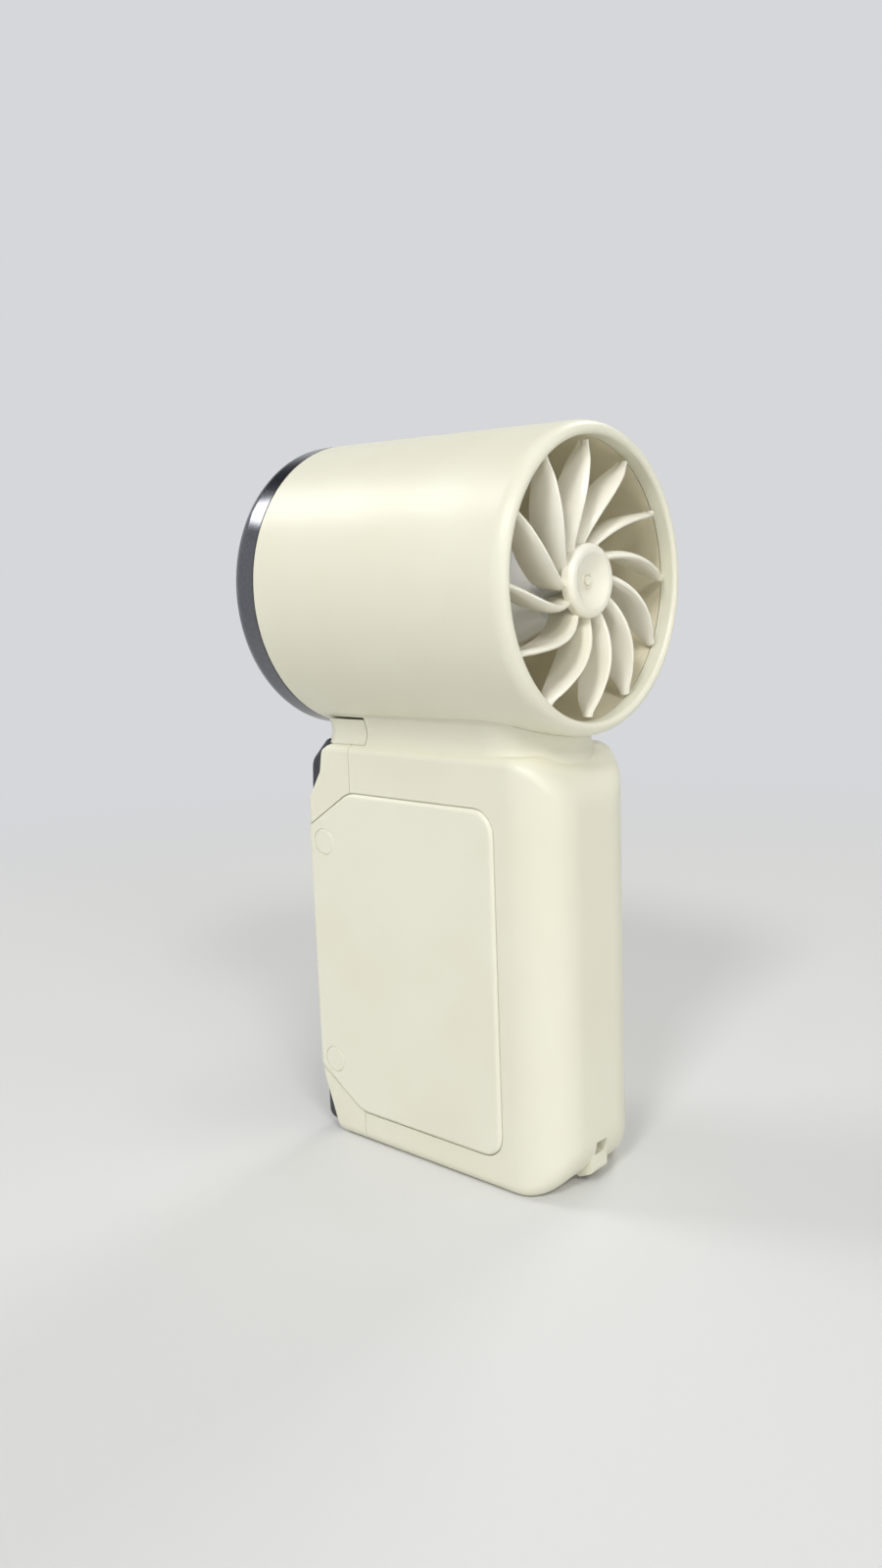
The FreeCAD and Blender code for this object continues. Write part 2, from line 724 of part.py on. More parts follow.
def make_guide_vanes():
    """Liner tube, nine bowed vanes and the barrel that holds the motor, in one moulding."""
    liner = duct_ring(liner_r, liner_bore_r, liner_front_y, liner_rear_y)
    barrel = duct_ring(pod_r, pod_r - pod_wall, pod_front_y, pod_rear_y)
    bulkhead = duct_ring(pod_r - 0.5, base_tube_r + 0.5, pod_front_y, bulkhead_rear_y())
    reach_in, reach_out = pod_r - 0.6, liner_r - 0.4
    half = vane_thickness / 2
    mid_y = (vane_rear_y + vane_front_y) / 2

    def side_arc(shift):
        start = V(shift - vane_bow, vane_rear_y, 0)
        mid = V(shift + vane_bow * 0.35, mid_y, 0)
        end = V(shift, vane_front_y, 0)
        return start, mid, end
    a0, a1, a2 = side_arc(-half)
    b0, b1, b2 = side_arc(half)
    outline = Part.Wire([Part.Arc(a0, a1, a2).toShape(), Part.LineSegment(a2, b2).toShape(),
                         Part.Arc(b2, b1, b0).toShape(), Part.LineSegment(b0, a0).toShape()])
    vane = Part.Face(outline).extrude(V(0, 0, reach_out - reach_in))
    vane.translate(V(0, 0, axis_height + reach_in))
    parts = [liner, barrel, bulkhead]
    for i in range(1, vane_count):
        parts.append(turned(vane, 180 + 360.0 * i / vane_count))
    # the lowest vane is a hollow strut for the motor lead
    strut = box(-strut_half_width, strut_half_width, vane_front_y + 1, vane_rear_y - 3,
                axis_height - reach_out, axis_height - reach_in)
    parts.append(strut)
    moulding = fused(parts)
    lead_hole = along_z(lead_r + 0.2, 0, lead_y, axis_height - liner_r - 2, axis_height - pod_r + pod_wall + 1)
    moulding = moulding.cut(lead_hole)
    for x, z in base_screw_places():
        moulding = moulding.cut(along_y(screw_r, x, z, pod_front_y - 1, bulkhead_rear_y() + 1))
    return moulding


def base_screw_places():
    ring = 8.5
    return [(ring * math.cos(math.radians(a)), axis_height + ring * math.sin(math.radians(a)))
            for a in (90, 210, 330)]


def make_motor_base():
    plate = duct_cylinder(pod_r - pod_wall - 1.2, bulkhead_rear_y(), bulkhead_rear_y() + base_thickness)
    tube = duct_cylinder(base_tube_r, pod_front_y, core_half_length)
    base = plate.fuse(tube)
    base = base.cut(duct_cylinder(shaft_r + 0.6, pod_front_y - 1, core_half_length + 1))
    base = base.cut(duct_cylinder(bearing_r, core_half_length - bearing_width, core_half_length + 1))
    for x, z in base_screw_places():
        base = base.cut(along_y(screw_r, x, z, bulkhead_rear_y() - 1, bulkhead_rear_y() + base_thickness + 1))
    return base.removeSplitter()


def make_base_screws():
    screws = []
    for x, z in base_screw_places():
        head = along_y(screw_head_r, x, z, pod_front_y - screw_head_height, pod_front_y)
        shank = along_y(screw_r, x, z, pod_front_y, bulkhead_rear_y() + base_thickness)
        screws.append(cross_recess(head.fuse(shank), x, pod_front_y - screw_head_height, z))
    return Part.Compound(screws)


def cross_recess(screw, x, y, z):
    """A cross slot in a screw head that faces -Y."""
    depth, long_half, short_half = 0.6, 1.1, 0.3
    slot = box(x - long_half, x + long_half, y - 1, y + depth, z - short_half, z + short_half)
    slot = slot.fuse(box(x - short_half, x + short_half, y - 1, y + depth, z - long_half, z + long_half))
    return screw.cut(slot).removeSplitter()


def make_rotor_bell():
    """The steel cup that turns round the stator and drives the shaft."""
    cup = duct_cylinder(bell_r, bell_front_y, bell_rear_y)
    cup = cup.cut(duct_cylinder(bell_r - bell_wall, bell_front_y - 1, bell_rear_y - 1.2))
    hub = duct_cylinder(2.6, core_half_length + 1.0, bell_rear_y)
    cup = cup.fuse(hub).cut(duct_cylinder(shaft_r, bell_front_y - 1, bell_rear_y + 1))
    vent_ring = 6.6
    for i in range(6):
        turn = math.radians(60 * i)
        cup = cup.cut(along_y(1.5, vent_ring * math.cos(turn), axis_height + vent_ring * math.sin(turn),
                              bell_rear_y - 2, bell_rear_y + 1))
    return cup.removeSplitter()


def make_rotor_magnets():
    outer = bell_r - bell_wall
    return duct_ring(outer, outer - magnet_thickness, -5.0, 5.0)


def core_r():
    return bell_r - bell_wall - magnet_thickness - air_gap


def make_stator_core():
    """Laminated core: a sleeve on the bearing tube with nine T-shaped teeth."""
    half = core_half_length - 1.0
    core = duct_ring(base_tube_r + 1.6, base_tube_r, -half, half)
    tooth = box(-0.8, 0.8, -half, half, axis_height + base_tube_r + 0.8, axis_height + core_r() - 0.5)
    shoe = duct_ring(core_r(), core_r() - 1.2, -half, half)
    shoe = shoe.common(box(-2.4, 2.4, -half, half, axis_height, axis_height + core_r() + 1))
    parts = [core]
    for i in range(core_teeth):
        parts.append(turned(tooth.fuse(shoe), 360.0 * i / core_teeth))
    return fused(parts)


def make_stator_windings():
    """One coil of copper wire round each tooth."""
    half = core_half_length - 1.0
    low = axis_height + base_tube_r + 1.9
    high = axis_height + core_r() - 1.5
    outer = box(-1.45, 1.45, -half - 0.65, half + 0.65, low, high)
    coil = outer.cut(box(-0.8, 0.8, -half, half, low - 1, high + 1))
    return Part.Compound([turned(coil, 360.0 * i / core_teeth) for i in range(core_teeth)])


def make_tail_cone():
    """The rounded cone that closes the pod at the outlet."""
    tip_y = pod_front_y - tail_length
    start = duct_point(pod_r, pod_front_y)
    mid = duct_point(pod_r * 0.80, pod_front_y - tail_length * 0.62)
    tip = duct_point(3.0, tip_y)
    inner_start = duct_point(pod_r - 2.0, pod_front_y)
    inner_mid = duct_point(pod_r * 0.80 - 1.7, pod_front_y - tail_length * 0.62 + 1.0)
    inner_tip = duct_point(0, tip_y + 2.2)
    edges = [Part.Arc(start, mid, tip).toShape(),
             Part.LineSegment(tip, duct_point(0, tip_y)).toShape(),
             Part.LineSegment(duct_point(0, tip_y), inner_tip).toShape(),
             Part.Arc(inner_tip, inner_mid, inner_start).toShape(),
             Part.LineSegment(inner_start, start).toShape()]
    return spun(edges)


def make_motor_lead():
    """The sheathed three-core lead from the motor, down the strut to the board."""
    places = [V(0, lead_y, axis_height - pod_r + pod_wall + 1.2), V(0, lead_y, 86.0),
              V(0, lead_y - lead_offset, 77.0), V(0, lead_y - lead_offset, connector_top())]
    edges = []
    cursor = places[0]
    length = 0.0
    for before, corner, after in zip(places, places[1:], places[2:]):
        back = (before - corner)
        ahead = (after - corner)
        turn = math.pi - back.getAngle(ahead)
        shorter = min(back.Length, ahead.Length)
        radius = 0.45 * shorter / math.tan(turn / 2)
        back.normalize()
        ahead.normalize()
        reach = radius * math.tan(turn / 2)
        start, end = corner + back * reach, corner + ahead * reach
        middle = (back + ahead).normalize() * (radius / math.cos(turn / 2) - radius)
        edges.append(Part.LineSegment(cursor, start).toShape())
        edges.append(Part.Arc(start, corner + middle, end).toShape())
        length += cursor.distanceToPoint(start) + radius * turn
        cursor = end
        print("motor lead bend radius", round(radius, 1))
    edges.append(Part.LineSegment(cursor, places[-1]).toShape())
    length += cursor.distanceToPoint(places[-1])
    section = Part.Wire(Part.Circle(places[0], Z_AXIS, lead_r).toShape())
    lead = Part.Wire(edges).makePipeShell([section], True, True)
    print("motor lead length", round(length, 1), "volume ratio",
          round(lead.Volume / (math.pi * lead_r ** 2 * length), 3))
    return lead


def connector_top():
    return 70.0


def make_lead_connector():
    y0, y1 = board_rear_y, lead_y - lead_offset + 2.6
    return box(-3.6, 3.6, y0, y1, connector_top() - 6.0, connector_top())


def tray_bottom():
    return cell_bottom - strip_thickness - tray_wall


def cell_places():
    return [cell_front_y, cell_front_y + cell_pitch]


def make_cell(y):
    """A cylindrical lithium cell with a raised positive cap."""
    can = along_z(cell_r, 0, y, cell_bottom, cell_bottom + cell_length)
    groove = along_z(cell_r + 1, 0, y, cell_bottom + cell_length - 4.2, cell_bottom + cell_length - 3.2)
    groove = groove.cut(along_z(cell_r - 0.45, 0, y, cell_bottom, cell_bottom + cell_length))
    return can.cut(groove)


def make_battery_tray():
    """Open cradle: a side wall with an end wall at each end of the cells."""
    y0 = cell_front_y - cell_r + 1.5
    y1 = cell_front_y + cell_pitch + cell_r - 1.5
    low = tray_bottom()
    high = cell_bottom + cell_length + strip_thickness
    spine = box(-cell_r - 0.25 - tray_wall, -cell_r - 0.25, y0, y1, low, high + tray_wall)
    foot = box(-cell_r - 0.5, cell_r, y0, y1, low, low + tray_wall)
    head = box(-cell_r - 0.5, cell_r, y0, y1, high, high + tray_wall)
    tray = spine.fuse(foot).fuse(head)
    for y in cell_places():
        tray = tray.cut(along_z(2.5, 0, y, high - 1, high + tray_wall + 1))
    return tray.removeSplitter()


def make_cell_strips():
    """Nickel strips: one link under both cells and a tab on top of each."""
    half = 3.5
    low = cell_bottom - strip_thickness
    high = cell_bottom + cell_length
    link = box(-half, half, cell_front_y - 6, cell_front_y + cell_pitch + 6, low, cell_bottom)
    tabs = [box(-half, half, y - 6, y + 6, high, high + strip_thickness) for y in cell_places()]
    return Part.Compound([link] + tabs)


def board_screw_places():
    return [(0.0, board_top - 3.0), (0.0, 14.5)]


def make_control_board():
    board = box(-board_half, board_half, board_front_y, board_rear_y, board_bottom, board_top)
    for x, z in board_screw_places():
        board = board.cut(along_y(screw_r + 0.15, x, z, board_front_y - 1, board_rear_y + 1))
    return board


def make_board_screws():
    screws = []
    for x, z in board_screw_places():
        head = along_y(screw_head_r, x, z, board_rear_y, board_rear_y + screw_head_height)
        shank = along_y(screw_r, x, z, web_rear_y - 1.0, board_rear_y)
        screws.append(head.fuse(shank).removeSplitter())
    return Part.Compound(screws)


def make_board_components():
    """Charge chip, motor driver, inductor and two capacitors on the rear of the board."""
    y = board_rear_y
    return Part.Compound([box(-6.5, -1.5, y, y + 1.0, 22, 27), box(1.5, 7.5, y, y + 1.2, 40, 46),
                          box(-7.5, -1.5, y, y + 3.0, 46, 52), along_y(2.0, 4.5, 24.5, y, y + 5.0),
                          along_y(2.0, 4.5, 31.0, y, y + 5.0), box(-7, -4, y, y + 0.8, 33, 36)])


def socket_place():
    """Centre of the charging socket in Y; it sits on the rear face of the board."""
    return board_rear_y + socket_height / 2


def rounded_slot(half_width, half_height, z0, z1):
    """A stadium-shaped prism standing on the charging socket's centre line."""
    y = socket_place()
    straight = half_width - half_height
    block = box(-straight, straight, y - half_height, y + half_height, z0, z1)
    return block.fuse(along_z(half_height, -straight, y, z0, z1)).fuse(
        along_z(half_height, straight, y, z0, z1)).removeSplitter()


def socket_opening():
    return rounded_slot(socket_width / 2 + 0.2, socket_height / 2 + 0.2, -1, wall + 0.5 + 4)


def make_charging_socket():
    """Metal socket shell with its tongue, opening downwards through the base."""
    z0 = 0.9
    shell = rounded_slot(socket_width / 2, socket_height / 2, z0, z0 + socket_depth)
    shell = shell.cut(rounded_slot(socket_width / 2 - socket_wall, socket_height / 2 - socket_wall,
                                   z0 - 1, z0 + socket_depth - 0.8))
    y = socket_place()
    tongue = box(-3.3, 3.3, y - 0.35, y + 0.35, z0 + 0.8, z0 + socket_depth - 0.4)
    return shell.fuse(tongue).removeSplitter()


def make_power_switch():
    """Tactile switch under the power button."""
    body = box(-switch_half, switch_half, board_front_y - switch_height, board_front_y,
               button_z - switch_half, button_z + switch_half)
    return body.fuse(along_y(1.7, 0, button_z, switch_tip_y(), board_front_y - switch_height + 0.1))


def switch_tip_y():
    return board_front_y - switch_height - 0.7


def plate_block():
    """The front plate's outside: upright, with its top rolled back to the neck."""
    points = [(plate_front_y, plate_bottom), (web_front_y, plate_bottom),
              (web_front_y, roll_z + seat_gap), (roll_rear_y, roll_z + seat_gap),
              (roll_rear_y, plate_top), (neck_front_y, plate_top - 0.4),
              (plate_front_y + plate_lean, plate_shoulder_z), (plate_front_y, plate_bend_z)]
    block = side_plate(points, (2.4, 0, 0, 0, 0, 2.0, 4.0, 12.0), -plate_half, plate_half)

    def rule(edge):
        span = edge.BoundBox
        on_side = span.XLength < 0.01 and abs(abs(span.XMin) - plate_half) < 0.01
        upright = span.YLength < 0.01 and span.YMin > web_front_y - 0.01
        step = span.ZLength < 0.01 and abs(span.ZMin - roll_z - seat_gap) < 0.01
        if not on_side or upright or step:
            return None
        return (plate_side_r, plate_side_r)
    return edge_fillets(block, rule)


def make_front_plate():
    """Plated front cover: a face, two side flanges and a solid rolled top."""
    plate = plate_block()
    inside = box(-plate_half + plate_flange, plate_half - plate_flange,
                 plate_front_y + plate_thickness, neck_front_y + 1,
                 plate_bottom + plate_flange, roll_z + seat_gap)
    plate = plate.cut(inside)
    plate = plate.cut(neck_outline(plate_neck_gap, roll_z - 1, plate_top + 2))
    plate = plate.cut(neck_solid())
    plate = plate.cut(along_y(button_r + button_gap, 0, button_z, plate_front_y - 1, neck_front_y))
    plate = plate.cut(lens_block(lens_fit, plate_front_y - 1, plate_front_y + lens_thickness))
    plate = plate.cut(box(-lens_half_width + 1.2, lens_half_width - 1.2, plate_front_y,
                          plate_front_y + plate_thickness + 1,
                          lens_z - lens_half_height + 1.2, lens_z + lens_half_height - 1.2))
    return plate.removeSplitter()


def lens_block(grow, y0, y1):
    block = box(-lens_half_width - grow, lens_half_width + grow, y0, y1,
                lens_z - lens_half_height - grow, lens_z + lens_half_height + grow)
    return edge_fillets(block, lambda e: (2.0 + grow, 2.0 + grow) if e.BoundBox.YLength > 1 else None)


def make_display_lens():
    return lens_block(0.0, plate_front_y, plate_front_y + lens_thickness)


def make_display_module():
    """Digit display on the front face of the board, behind the lens."""
    return box(-6.4, 6.4, plate_front_y + plate_thickness + 0.3, board_front_y,
               lens_z - 7.8, lens_z + 7.8)


def make_power_button():
    """Round button with a retaining flange and a short stem over the switch."""
    face = plate_front_y - button_proud
    back = plate_front_y + plate_thickness
    cap = along_y(button_r, 0, button_z, face, back + 0.3)
    cap = edge_fillets(cap, lambda e: (0.6, 0.6) if e.BoundBox.YMax < face + 0.1 else None)
    flange = along_y(button_r + 0.9, 0, button_z, back + 0.3, back + 0.9)
    stem = along_y(1.5, 0, button_z, back + 0.8, switch_tip_y() - button_travel - 0.3)
    cap = cap.fuse(stem)
    dish_r = 26.0
    dish_depth = 0.35
    dish = Part.makeSphere(dish_r, V(0, face + dish_depth - dish_r, button_z))
    return cap.fuse(flange).cut(dish).removeSplitter()


def make_side_panel(side):
    near = body_half - panel_sink
    panel = panel_outline(0, near, panel_face)

    def rule(edge):
        span = edge.BoundBox
        return (panel_edge_r, panel_edge_r) if span.XMin > panel_face - 0.01 else None
    panel = edge_fillets(panel, rule)
    for z in (panel_slant_top - 3.2, panel_slant_bottom + 2.4):
        ring = Part.makeCylinder(mark_r, 2, V(panel_face - mark_depth, mark_y, z), X_AXIS)
        panel = panel.cut(ring)
    if side < 0:
        panel = panel.mirror(V(0, 0, 0), X_AXIS)
    return panel


def make_shell_screws():
    """Four screws from the front web into the rear shell's bosses."""
    screws = []
    for x, z in shell_boss_places():
        head = along_y(screw_head_r, x, z, web_front_y - screw_head_height, web_front_y)
        shank = along_y(screw_r, x, z, web_front_y, body_seam_y + 7.5)
        screws.append(cross_recess(head.fuse(shank), x, web_front_y - screw_head_height, z))
    return Part.Compound(screws)


def make_duct_screws():
    """Two screws from inside the grip up into the duct's bosses."""
    screws = []
    for x, y in duct_screw_places():
        head = along_z(screw_head_r, x, y, top_wall_z - screw_head_height, top_wall_z)
        shank = along_z(screw_r, x, y, top_wall_z, body_top + 3.4)
        screws.append(head.fuse(shank).removeSplitter())
    return Part.Compound(screws)


def main():
    os.makedirs("parts", exist_ok=True)
    nodes = {
        "head_housing": make_head_housing(),
        "outlet_ring": make_outlet_ring(),
        "guide_vanes": make_guide_vanes(),
        "nose_cone": make_nose_cone(),
        "tail_cone": make_tail_cone(),
        "impeller": make_impeller(),
        "motor_shaft": make_motor_shaft(),
        "bearing_housing": make_bearing_housing(),
        "rear_bearing": make_bearing(rear_bearing_y()),
        "front_bearing": make_bearing(core_half_length - bearing_width),
        "rotor_bell": make_rotor_bell(),
        "rotor_magnets": make_rotor_magnets(),
        "stator_core": make_stator_core(),
        "stator_windings": make_stator_windings(),
        "motor_base": make_motor_base(),
        "base_screws": make_base_screws(),
        "motor_lead": make_motor_lead(),
        "lead_connector": make_lead_connector(),
        "rear_shell": make_rear_shell(),
        "front_shell": make_front_shell(),
        "front_plate": make_front_plate(),
        "display_lens": make_display_lens(),
        "display_module": make_display_module(),
        "power_button": make_power_button(),
        "power_switch": make_power_switch(),
        "side_panel_right": make_side_panel(1),
        "side_panel_left": make_side_panel(-1),
        "control_board": make_control_board(),
        "board_components": make_board_components(),
        "board_screws": make_board_screws(),
        "charging_socket": make_charging_socket(),
        "battery_tray": make_battery_tray(),
        "cell_strips": make_cell_strips(),
        "cell_front": make_cell(cell_places()[0]),
        "cell_rear": make_cell(cell_places()[1]),
        "shell_screws": make_shell_screws(),
        "duct_screws": make_duct_screws(),
    }
    for name, shape in nodes.items():
        shape.exportStep(f"parts/{name}.step")
        print(name, "valid" if shape.isValid() else "NOT VALID", len(shape.Solids), "solids",
              round(shape.Volume, 1))


main()
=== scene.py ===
# %% [markdown]
# # A handheld turbo fan
# This lesson finishes a small rechargeable fan. Its solid parts come ready made, in metres,
# in one fixed frame: +Z is up, -Y is the side the air leaves by, and +Y is the intake side.
# The steps below make a finish for each real material, dress the hidden parts, shade the outer
# parts smoothly with their fine joints and marks, and set up the floor and the light.

# %% Load the solid parts
import json
import math

import bmesh
import bpy
from mathutils import Matrix, Vector

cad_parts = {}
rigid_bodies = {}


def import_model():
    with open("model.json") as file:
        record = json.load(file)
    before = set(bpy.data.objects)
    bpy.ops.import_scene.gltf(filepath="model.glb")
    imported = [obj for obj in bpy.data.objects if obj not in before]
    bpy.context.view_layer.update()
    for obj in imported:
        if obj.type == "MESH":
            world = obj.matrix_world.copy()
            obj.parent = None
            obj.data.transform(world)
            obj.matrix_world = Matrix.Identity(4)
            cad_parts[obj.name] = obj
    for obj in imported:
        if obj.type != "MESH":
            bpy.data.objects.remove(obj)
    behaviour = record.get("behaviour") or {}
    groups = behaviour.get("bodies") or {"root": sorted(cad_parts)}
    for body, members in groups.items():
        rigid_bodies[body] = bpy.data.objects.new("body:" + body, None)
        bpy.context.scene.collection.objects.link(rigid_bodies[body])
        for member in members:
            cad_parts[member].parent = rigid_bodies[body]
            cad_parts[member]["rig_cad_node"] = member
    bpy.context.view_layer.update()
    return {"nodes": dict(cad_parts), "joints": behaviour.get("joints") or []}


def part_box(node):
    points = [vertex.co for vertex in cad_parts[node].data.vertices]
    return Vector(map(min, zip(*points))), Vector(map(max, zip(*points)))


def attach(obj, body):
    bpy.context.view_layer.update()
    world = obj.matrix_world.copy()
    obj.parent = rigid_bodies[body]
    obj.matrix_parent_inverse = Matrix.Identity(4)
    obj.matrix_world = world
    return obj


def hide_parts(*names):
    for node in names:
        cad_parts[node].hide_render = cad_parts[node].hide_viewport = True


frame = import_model()
MM = 0.001
MERGE_DISTANCE = 0.001 * MM

# %% [markdown]
# ## Camera
# The fan stands on a table and the camera is a hand's reach away, nearly level with the duct,
# so that the intake and the right side show. The lens is a wide one, as in a phone. The three
# angles are turned into the camera's own axes, which is exact and easy to change later.

# %% Place the camera
CAMERA_PLACE_MM = (204.46, 177.07, 127.08)
SENSOR_MM = 36.0


def look_from(azimuth, elevation, roll, place_mm, lens_mm):
    """Add a camera that looks towards the fan from these angles, in degrees."""
    round_fan, above_level, turn = (math.radians(angle) for angle in (azimuth, elevation, roll))
    back = Vector((math.sin(round_fan) * math.cos(above_level),
                   -math.cos(round_fan) * math.cos(above_level), math.sin(above_level)))
    right = (-back).cross(Vector((0, 0, 1))).normalized()
    up = right.cross(-back).normalized()
    turned_right = right * math.cos(turn) + up * math.sin(turn)
    turned_up = up * math.cos(turn) - right * math.sin(turn)
    data = bpy.data.cameras.new("camera")
    data.lens = lens_mm
    data.sensor_width = SENSOR_MM
    data.clip_start = 0.01
    camera = bpy.data.objects.new("camera", data)
    bpy.context.scene.collection.objects.link(camera)
    turned = Matrix((turned_right, turned_up, back)).transposed()
    camera.matrix_world = Matrix.Translation(Vector(place_mm) * MM) @ turned.to_4x4()
    bpy.context.scene.camera = camera
    return camera


camera = look_from(azimuth=131.84, elevation=9.58, roll=-2.12,
                   place_mm=CAMERA_PLACE_MM, lens_mm=29.25)
print("camera at", [round(v, 3) for v in camera.location])

# %% [markdown]
# ## Colours and nodes
# Colours are written as sRGB hex values. The renderer works in linear light, so one function
# turns them. A second one adds a node with its settings and its links in one line, which keeps
# each material short enough to read at a glance.

# %% Helpers for colours and nodes


def linear(hex_colour):
    """An sRGB hex colour as linear RGBA."""
    values = [int(hex_colour[i:i + 2], 16) / 255 for i in (1, 3, 5)]
    out = [v / 12.92 if v <= 0.04045 else ((v + 0.055) / 1.055) ** 2.4 for v in values]
    return out + [1.0]


def add(tree, kind, settings=None, **sockets):
    """Add a node. Settings are its properties, or the stops of a colour ramp; a socket gets a
    value or another socket, by name, or by number after an underscore."""
    node = tree.nodes.new(kind)
    for name, value in (settings or {}).items():
        if name == "stops":
            for stop, (position, colour) in zip(node.color_ramp.elements, value):
                stop.position = position
                stop.color = linear(colour)
        else:
            setattr(node, name, value)
    for name, value in sockets.items():
        key = int(name[1:]) if name[1:].isdigit() else name.replace("_", " ")
        socket = node.inputs[key]
        if isinstance(value, bpy.types.NodeSocket):
            tree.links.new(value, socket)
        else:
            socket.default_value = value
    return node


def new_material(name):
    """A material and its empty node tree."""
    material = bpy.data.materials.new(name)
    material.use_nodes = True
    material.node_tree.nodes.clear()
    return material, material.node_tree


print("half grey in linear light:", round(linear("#808080")[0], 3))

# %% [markdown]
# ## Moulded plastics
# The grip, the duct and the side panels are injection moulded ABS in a warm cream. The mould is
# finely polished, so the skin is a soft semi-gloss: it gives wide, gentle highlights. The tone
# drifts a little across large faces, and a very fine ripple left by the mould breaks up the
# reflections. The real ripple is some hundredths of a millimetre wide, which no picture shows,
# so it is drawn coarser here. The same recipe, with its own colours and gloss, makes the glossy
# paler PBT of the wheel, the shiny grey polycarbonate of the pod in the duct, the polished
# button, black nylon and the dull silicone rubber of the lead.

# %% A recipe for moulded plastic
CLOUD_WIDTH = 28 * MM
RIPPLE_HEIGHT = 0.02 * MM
PLASTIC_IOR = 1.53


def moulded(name, shade, colour, roughness, ripple_mm=0.9, relief=0.06, **constants):
    """A moulded plastic: two close tones in soft clouds, and a fine ripple in relief and gloss."""
    material, tree = new_material(name)
    place = add(tree, "ShaderNodeTexCoord").outputs["Object"]
    clouds = add(tree, "ShaderNodeTexNoise", Vector=place, Scale=1 / CLOUD_WIDTH, Detail=2.0)
    tones = add(tree, "ShaderNodeValToRGB", {"stops": [(0.35, shade), (0.65, colour)]},
                Fac=clouds.outputs["Fac"])
    ripple = add(tree, "ShaderNodeTexNoise", Vector=place, Scale=1 / (ripple_mm * MM), Detail=3.0)
    gloss = add(tree, "ShaderNodeMapRange", Value=ripple.outputs["Fac"],
                To_Min=roughness - 0.04, To_Max=roughness + 0.05)
    bump = add(tree, "ShaderNodeBump", Strength=relief, Distance=RIPPLE_HEIGHT,
               Height=ripple.outputs["Fac"])
    shader = add(tree, "ShaderNodeBsdfPrincipled", Base_Color=tones.outputs["Color"],
                 Roughness=gloss.outputs["Result"], Normal=bump.outputs["Normal"],
                 **{"IOR": PLASTIC_IOR, **constants})
    add(tree, "ShaderNodeOutputMaterial", Surface=shader.outputs["BSDF"])
    return material


cream = moulded("moulded_cream_abs", "#E5E2CC", "#E8E6D2", 0.38)
cream_satin = moulded("satin_cream_abs", "#E6E3CF", "#E9E7D5", 0.40, ripple_mm=0.5, relief=0.10)
# the vane ring deep in the duct takes a darker, warmer copy of the cream: painted shade of the
# cavity
inner_cream_painted_shade = moulded("inner_cream_abs_painted_shade", "#E2DABC", "#E7DFC4", 0.36)
wheel_cream = moulded("wheel_cream_pbt", "#EDE9D4", "#F4F1E2", 0.22, ripple_mm=0.7)
pale_grey = moulded("pale_grey_polycarbonate", "#EFF0F1", "#F3F4F5", 0.16, IOR=1.58)
black_nylon = moulded("black_nylon", "#1A1A1B", "#232325", 0.45, ripple_mm=0.4, relief=0.3)
tray_black = moulded("tray_black_abs", "#2B2B2D", "#333335", 0.48, ripple_mm=0.6, relief=0.3)
button_cream = moulded("gloss_cream_abs", "#DCDACE", "#E0DED2", 0.14, ripple_mm=1.2)
natural_nylon = moulded("natural_nylon", "#DAD7C8", "#E2DFD2", 0.40, ripple_mm=0.5)
lead_rubber = moulded("lead_silicone_rubber", "#141415", "#1C1C1E", 0.55,
                      ripple_mm=0.3, relief=0.2, IOR=1.41)
print("materials so far:", len(bpy.data.materials))

# %% [markdown]
# ## Metals
# Each metal part has a grain from the way it was made. Turned parts, such as the motor seat,
# have fine rings round their axis; ground, plated and stamped parts have a faint even grain.
# A ring pattern is a wave that runs along the duct's axis. Real turning marks are about
# 0.05 mm apart, so they are drawn four times as coarse to show at all. The seat is drawn pale
# and only slightly metallic: a painted reflection that stands in for the bright light it shows
# in the shaded duct. The dark plating of the front plate is a mirror over a dark ground.

# %% A recipe for metals
WAVE_PERIOD = math.tau / 20  # the length of one wave of a wave texture at scale 1
GRAIN_HEIGHT = 0.01 * MM


def metal(name, dark, light, roughness, grain_mm=0.4, rings_mm=None, relief=0.1, metallic=1.0):
    """A metal with a fine grain or turned rings in its gloss, tone and relief."""
    material, tree = new_material(name)
    place = add(tree, "ShaderNodeTexCoord").outputs["Object"]
    grain = add(tree, "ShaderNodeTexNoise", Vector=place, Scale=1 / (grain_mm * MM), Detail=4.0)
    tones = add(tree, "ShaderNodeValToRGB", {"stops": [(0.35, dark), (0.65, light)]},
                Fac=grain.outputs["Fac"])
    pattern = grain.outputs["Fac"]
    if rings_mm is not None:
        rings = add(tree, "ShaderNodeTexWave", {"bands_direction": "Y"}, Vector=place,
                    Scale=WAVE_PERIOD / (rings_mm * MM), Distortion=0.6, Detail=1.0)
        pattern = rings.outputs["Fac"]
    bump = add(tree, "ShaderNodeBump", Strength=relief, Distance=GRAIN_HEIGHT, Height=pattern)
    gloss = add(tree, "ShaderNodeMapRange", Value=pattern,
                To_Min=0.85 * roughness, To_Max=1.2 * roughness)
    shader = add(tree, "ShaderNodeBsdfPrincipled", Base_Color=tones.outputs["Color"],
                 Roughness=gloss.outputs["Result"], Normal=bump.outputs["Normal"],
                 Metallic=metallic)
    add(tree, "ShaderNodeOutputMaterial", Surface=shader.outputs["BSDF"])
    return material


